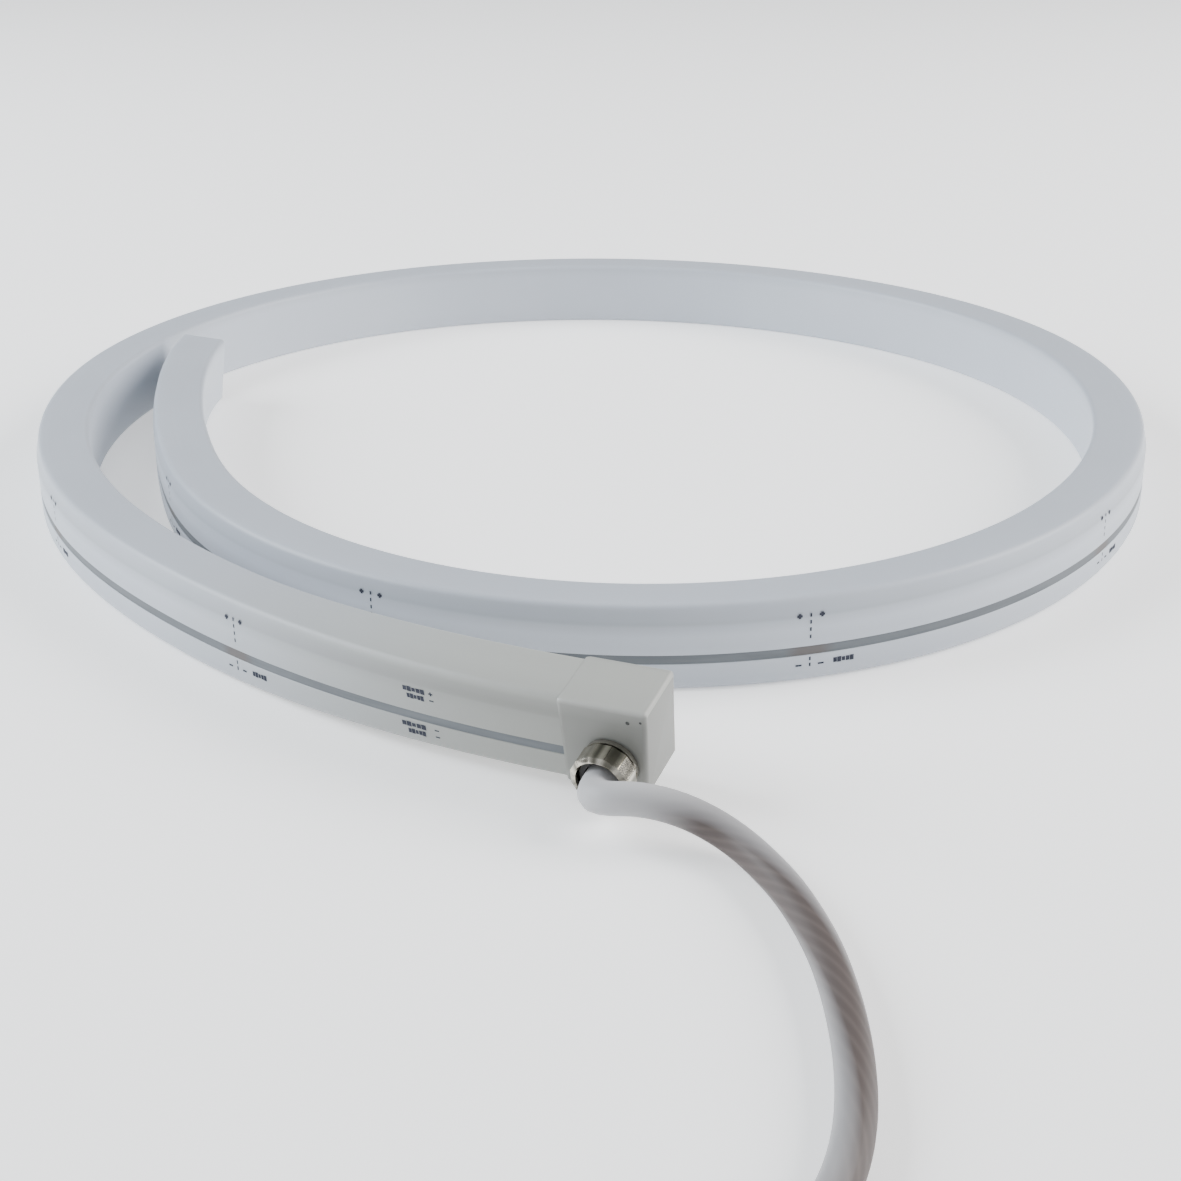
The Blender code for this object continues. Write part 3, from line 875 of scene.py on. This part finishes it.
# Studio

def make_camera():
    right = Vector((1, 0, 0))
    ahead = Vector((0, cos(CAMERA_PITCH), -sin(CAMERA_PITCH)))
    up = Vector((0, sin(CAMERA_PITCH), cos(CAMERA_PITCH)))
    turned_right = right * cos(CAMERA_ROLL) + up * sin(CAMERA_ROLL)
    turned_up = up * cos(CAMERA_ROLL) - right * sin(CAMERA_ROLL)
    camera = bpy.data.objects.new("camera", bpy.data.cameras.new("camera"))
    camera.data.lens = CAMERA_LENS
    camera.data.sensor_width = CAMERA_SENSOR
    camera.data.clip_start = 0.01
    turn = Matrix((turned_right, turned_up, -ahead)).transposed()
    camera.matrix_world = Matrix.Translation(CAMERA_PLACE) @ turn.to_4x4()
    bpy.context.scene.collection.objects.link(camera)
    bpy.context.scene.camera = camera


def make_floor():
    """A pale table that glows a little, as a lit tabletop does."""
    finish, _, _, shader = new_material("floor_white", (0.9, 0.9, 0.9), 0.7)
    shader.inputs["Emission Color"].default_value = (1.0, 1.0, 1.0, 1.0)
    shader.inputs["Emission Strength"].default_value = FLOOR_GLOW
    bm = bmesh.new()
    bmesh.ops.create_grid(bm, x_segments=2, y_segments=2, size=FLOOR_HALF)
    mesh = bpy.data.meshes.new("floor")
    bm.to_mesh(mesh)
    bm.free()
    mesh.materials.append(finish)
    floor = bpy.data.objects.new("floor", mesh)
    bpy.context.scene.collection.objects.link(floor)


def soft_light(name, place, colour):
    """A soft box aimed at the origin."""
    light = bpy.data.lights.new(name, "AREA")
    light.color = colour
    light.shape = "RECTANGLE"
    light.size, light.size_y = SIDE_LIGHT_SIZE
    light.energy = SIDE_LIGHT
    thing = bpy.data.objects.new(name, light)
    thing.location = place
    thing.rotation_mode = "QUATERNION"
    thing.rotation_quaternion = (-Vector(place)).to_track_quat("-Z", "Y")
    bpy.context.scene.collection.objects.link(thing)


def make_lights():
    world = bpy.data.worlds.new("studio")
    bpy.context.scene.world = world
    world.use_nodes = True
    nodes, links = world.node_tree.nodes, world.node_tree.links
    where = nodes.new("ShaderNodeTexCoord")
    turned = nodes.new("ShaderNodeMapping")
    turned.inputs["Rotation"].default_value = (SKY_TILT, 0, 0)
    links.new(where.outputs["Generated"], turned.inputs["Vector"])
    parts = nodes.new("ShaderNodeSeparateXYZ")
    links.new(turned.outputs["Vector"], parts.inputs["Vector"])
    strength = ranged(nodes, links, parts.outputs["Z"], SKY_DIM_BELOW, 1.0, SKY_DIM, SKY_BRIGHT)
    links.new(strength, nodes["Background"].inputs["Strength"])
    nodes["Background"].inputs["Color"].default_value = (*SKY_COLOUR, 1.0)
    soft_light("left_box", (-1.5, 0.15, 0.9), LEFT_LIGHT_COLOUR)
    soft_light("right_box", (1.5, 0.1, 0.9), RIGHT_LIGHT_COLOUR)


def dress(node, finish):
    """Gives a node that the frame carries over its finish."""
    node.data.materials.clear()
    node.data.materials.append(finish)


def dress_cores(nodes):
    tin = metal_finish("tinned_wire", TIN, 0.25)
    for word, colour in CORE_COLOURS.items():
        dress(nodes["core_" + word], plain_finish(word + "_insulation", colour, 0.35))
        dress(nodes["core_tip_" + word], tin)


def make_extrusions():
    """The strip and its cap, with the painted light and shade that run round their sections."""
    section = strip_section()
    girth = girth_to(section, 0.0) + STRIP_DEPTH
    # Painted light and shade round the strip's section, darker painted shade by its capped end, and painted
    # shade on the cap
    strip_light_and_shade = painted_light_and_shade_round(section, LIT_DIFFUSER_AND_PAINTED_LIGHT, TOP_PAINTED_SHADE, BACK_PAINTED_LIGHT_AND_SHADE)
    start_shades = painted_light_and_shade_round(section, LIT_DIFFUSER_AND_PAINTED_LIGHT, START_TOP_PAINTED_SHADE, START_BACK_PAINTED_SHADE)
    cap_painted_shade = painted_light_and_shade_round(cap_section(CAP_PROUD), CAP_END_PAINTED_SHADE, START_TOP_PAINTED_SHADE, CAP_BACK_PAINTED_SHADE)
    make_strip(silicone("strip_silicone", STRIP_LIGHT, STRIP_DARK, 0.42, 3.0, girth, strip_light_and_shade, start_shades,
                        STRIP_SHADED_BY_CAP), groove_finish())
    make_end_cap(silicone("cap_silicone", CAP_LIGHT, CAP_DARK, 0.38, 300.0, girth, cap_painted_shade))


def main():
    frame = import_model()
    make_camera()
    axis = GlandAxis()
    nodes = frame["nodes"]
    make_lead(axis, jacket_finish())
    dress_cores(nodes)
    dress(nodes["gland_collar"], metal_finish("nickel", NICKEL, 0.2))
    dress(nodes["gland_seal"], plain_finish("black_rubber", SEAL_BLACK, 0.55))
    make_extrusions()
    make_nut(axis, metal_finish("nickel_painted_reflections", NICKEL, 0.17, True))
    make_prints(print_finish("navy_ink", MARK_INK))
    make_cap_dots(print_finish("cap_dot", DOT_INK))
    make_floor()
    make_lights()


main()
